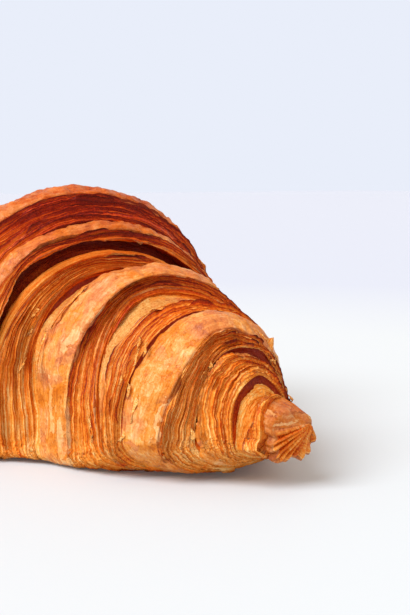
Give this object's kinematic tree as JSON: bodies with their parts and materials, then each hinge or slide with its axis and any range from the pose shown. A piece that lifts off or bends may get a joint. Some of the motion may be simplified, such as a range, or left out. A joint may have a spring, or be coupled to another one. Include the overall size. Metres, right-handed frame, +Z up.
{
  "type": "croissant",
  "caption": "Nearly straight butter croissant with stepped, layered wraps, a tall middle and a folded knob at each tip.",
  "frame": {"origin": "centre of the footprint, on the flat baked base", "axes": "+X along the roll towards the tip whose wrap edges are most open, -Y towards the front, +Z up"},
  "size_m": [0.156, 0.0862, 0.0604],
  "materials": {
    "baked_dough": "golden-brown laminated dough with an egg-wash glaze, satin where glazed and matt on the cut layers"
  },
  "bodies": {
    "root": {"croissant": "baked_dough"}
  },
  "joints": []
}
